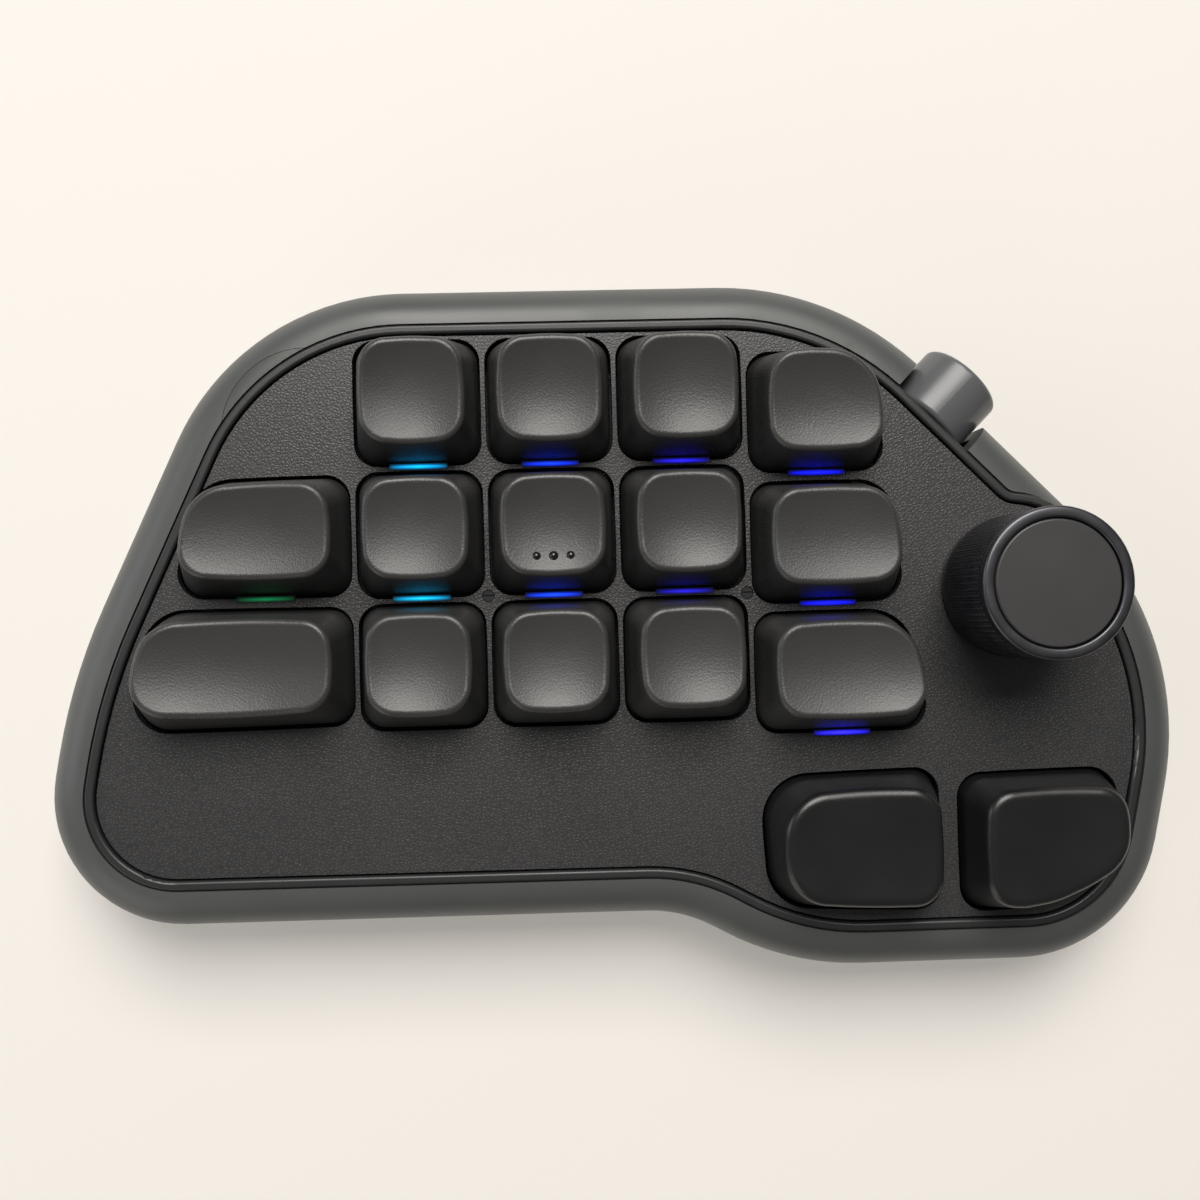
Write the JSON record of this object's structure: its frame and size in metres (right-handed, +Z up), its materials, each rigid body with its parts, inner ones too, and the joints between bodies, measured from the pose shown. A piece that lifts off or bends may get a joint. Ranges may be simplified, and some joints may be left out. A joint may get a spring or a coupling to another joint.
{
  "type": "macro keypad with knobs",
  "caption": "One-handed keypad: dished keys in a grained deck, a knurled turning knob and a small edge knob in a rounded case.",
  "frame": {"origin": "on the desk under the middle of the case outline", "axes": "+X to the right along the long side, +Y away from the user, +Z up"},
  "size_m": [0.1658, 0.102, 0.038],
  "materials": {
    "grey_shell": "fine spark-eroded texture, satin",
    "black_deck": "leather-like moulded grain",
    "black_trim": "satin",
    "keycap_pbt": "fine sand texture",
    "switch_plastic": "smooth",
    "stem_plastic": "smooth acetal",
    "knob_black": "black anodised, knurled",
    "knob_disc": "satin",
    "side_knob_grey": "satin",
    "steel": "plated",
    "screw_black": "black oxide",
    "board_mask": "solder mask",
    "led_lens": "clear lens over white case",
    "feet_rubber": "matte",
    "chip_black": "moulded epoxy"
  },
  "bodies": {
    "case": {"upper_case": "grey_shell", "bottom_cover": "grey_shell", "lip_ring": "black_trim", "deck": "black_deck", "port_insert": "grey_shell", "usb_socket": "steel", "circuit_board": "board_mask", "switch_plate": "steel", "switch_bases": "switch_plastic", "switch_covers": "switch_plastic", "key_leds": "led_lens", "controller_chip": "chip_black", "encoder_body": "steel", "encoder_nut": "steel", "side_encoder": "switch_plastic", "side_board": "board_mask", "case_screws": "screw_black", "board_screws": "steel", "deck_screws": "screw_black", "rubber_feet": "feet_rubber"},
    "main_rotor": {"encoder_rotor": "switch_plastic"},
    "main_knob": {"main_knob": "knob_black", "main_knob_cap": "knob_disc", "encoder_shaft": "steel"},
    "side_knob": {"side_knob": "side_knob_grey", "side_shaft": "steel"},
    "key_ring_top": {"keycap_ring_top": "keycap_pbt", "stem_ring_top": "stem_plastic"},
    "key_middle_top": {"keycap_middle_top": "keycap_pbt", "stem_middle_top": "stem_plastic"},
    "key_index_top": {"keycap_index_top": "keycap_pbt", "stem_index_top": "stem_plastic"},
    "key_ring_home": {"keycap_ring_home": "keycap_pbt", "stem_ring_home": "stem_plastic"},
    "key_middle_home": {"keycap_middle_home": "keycap_pbt", "stem_middle_home": "stem_plastic"},
    "key_index_home": {"keycap_index_home": "keycap_pbt", "stem_index_home": "stem_plastic"},
    "key_ring_bottom": {"keycap_ring_bottom": "keycap_pbt", "stem_ring_bottom": "stem_plastic"},
    "key_middle_bottom": {"keycap_middle_bottom": "keycap_pbt", "stem_middle_bottom": "stem_plastic"},
    "key_index_bottom": {"keycap_index_bottom": "keycap_pbt", "stem_index_bottom": "stem_plastic"},
    "key_pinky_home": {"keycap_pinky_home": "keycap_pbt", "stem_pinky_home": "stem_plastic"},
    "key_pinky_bottom": {"keycap_pinky_bottom": "keycap_pbt", "stem_pinky_bottom": "stem_plastic"},
    "key_reach_top": {"keycap_reach_top": "keycap_pbt", "stem_reach_top": "stem_plastic"},
    "key_reach_home": {"keycap_reach_home": "keycap_pbt", "stem_reach_home": "stem_plastic"},
    "key_reach_bottom": {"keycap_reach_bottom": "keycap_pbt", "stem_reach_bottom": "stem_plastic"},
    "key_thumb_left": {"keycap_thumb_left": "keycap_pbt", "stem_thumb_left": "stem_plastic"},
    "key_thumb_right": {"keycap_thumb_right": "keycap_pbt", "stem_thumb_right": "stem_plastic"}
  },
  "joints": [
    {"name": "press_ring_top", "type": "slide", "parent": "case", "child": "key_ring_top", "axis": [0, 0, -1], "range_m": [0, 0.004], "stiffness_N_per_m": 110, "springref_m": -0.003},
    {"name": "press_middle_top", "type": "slide", "parent": "case", "child": "key_middle_top", "axis": [0, 0, -1], "range_m": [0, 0.004], "stiffness_N_per_m": 110, "springref_m": -0.003},
    {"name": "press_index_top", "type": "slide", "parent": "case", "child": "key_index_top", "axis": [0, 0, -1], "range_m": [0, 0.004], "stiffness_N_per_m": 110, "springref_m": -0.003},
    {"name": "press_ring_home", "type": "slide", "parent": "case", "child": "key_ring_home", "axis": [0, 0, -1], "range_m": [0, 0.004], "stiffness_N_per_m": 110, "springref_m": -0.003},
    {"name": "press_middle_home", "type": "slide", "parent": "case", "child": "key_middle_home", "axis": [0, 0, -1], "range_m": [0, 0.004], "stiffness_N_per_m": 110, "springref_m": -0.003},
    {"name": "press_index_home", "type": "slide", "parent": "case", "child": "key_index_home", "axis": [0, 0, -1], "range_m": [0, 0.004], "stiffness_N_per_m": 110, "springref_m": -0.003},
    {"name": "press_ring_bottom", "type": "slide", "parent": "case", "child": "key_ring_bottom", "axis": [0, 0, -1], "range_m": [0, 0.004], "stiffness_N_per_m": 110, "springref_m": -0.003},
    {"name": "press_middle_bottom", "type": "slide", "parent": "case", "child": "key_middle_bottom", "axis": [0, 0, -1], "range_m": [0, 0.004], "stiffness_N_per_m": 110, "springref_m": -0.003},
    {"name": "press_index_bottom", "type": "slide", "parent": "case", "child": "key_index_bottom", "axis": [0, 0, -1], "range_m": [0, 0.004], "stiffness_N_per_m": 110, "springref_m": -0.003},
    {"name": "press_pinky_home", "type": "slide", "parent": "case", "child": "key_pinky_home", "axis": [0, 0, -1], "range_m": [0, 0.004], "stiffness_N_per_m": 110, "springref_m": -0.003},
    {"name": "press_pinky_bottom", "type": "slide", "parent": "case", "child": "key_pinky_bottom", "axis": [0, 0, -1], "range_m": [0, 0.004], "stiffness_N_per_m": 110, "springref_m": -0.003},
    {"name": "press_reach_top", "type": "slide", "parent": "case", "child": "key_reach_top", "axis": [0, 0, -1], "range_m": [0, 0.004], "stiffness_N_per_m": 110, "springref_m": -0.003},
    {"name": "press_reach_home", "type": "slide", "parent": "case", "child": "key_reach_home", "axis": [0, 0, -1], "range_m": [0, 0.004], "stiffness_N_per_m": 110, "springref_m": -0.003},
    {"name": "press_reach_bottom", "type": "slide", "parent": "case", "child": "key_reach_bottom", "axis": [0, 0, -1], "range_m": [0, 0.004], "stiffness_N_per_m": 110, "springref_m": -0.003},
    {"name": "press_thumb_left", "type": "slide", "parent": "case", "child": "key_thumb_left", "axis": [0, 0, -1], "range_m": [0, 0.004], "stiffness_N_per_m": 110, "springref_m": -0.003},
    {"name": "press_thumb_right", "type": "slide", "parent": "case", "child": "key_thumb_right", "axis": [0, 0, -1], "range_m": [0, 0.004], "stiffness_N_per_m": 110, "springref_m": -0.003},
    {"name": "turn_main_knob", "type": "hinge", "parent": "case", "child": "main_rotor", "pos_m": [0.05761, 0.0048, 0.02], "axis": [0, 0, 1], "continuous": true},
    {"name": "push_main_knob", "type": "slide", "parent": "main_rotor", "child": "main_knob", "axis": [0, 0, -1], "range_m": [0, 0.0005], "stiffness_N_per_m": 2500, "springref_m": -0.0012},
    {"name": "turn_side_knob", "type": "hinge", "parent": "case", "child": "side_knob", "pos_m": [0.051, 0.03399, 0.0132], "axis": [0.7071, 0.7071, 0], "continuous": true}
  ]
}
